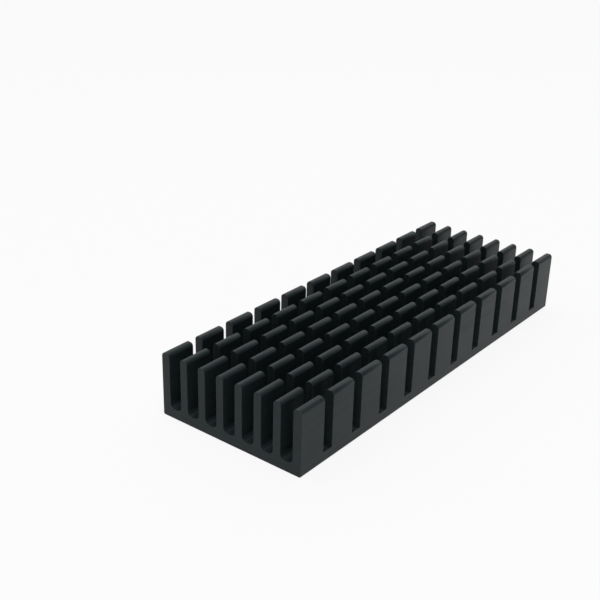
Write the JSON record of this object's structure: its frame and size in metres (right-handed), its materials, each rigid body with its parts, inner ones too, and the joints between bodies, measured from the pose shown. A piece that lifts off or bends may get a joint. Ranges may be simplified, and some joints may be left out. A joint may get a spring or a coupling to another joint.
{
  "type": "heat sink",
  "caption": "Low rectangular aluminium heat sink: a flat base with upright fins in rows, cross cut into posts, black anodised, for bonding to a hot circuit module.",
  "frame": {"origin": "middle of the flat mounting face", "axes": "+X along the fins, +Y across the fins, +Z from the mounting face to the fin tips"},
  "size_m": [0.07, 0.025, 0.01],
  "materials": {
    "anodised_aluminium": "black anodised, satin"
  },
  "bodies": {
    "root": {"heat_sink": "anodised_aluminium"}
  },
  "joints": []
}
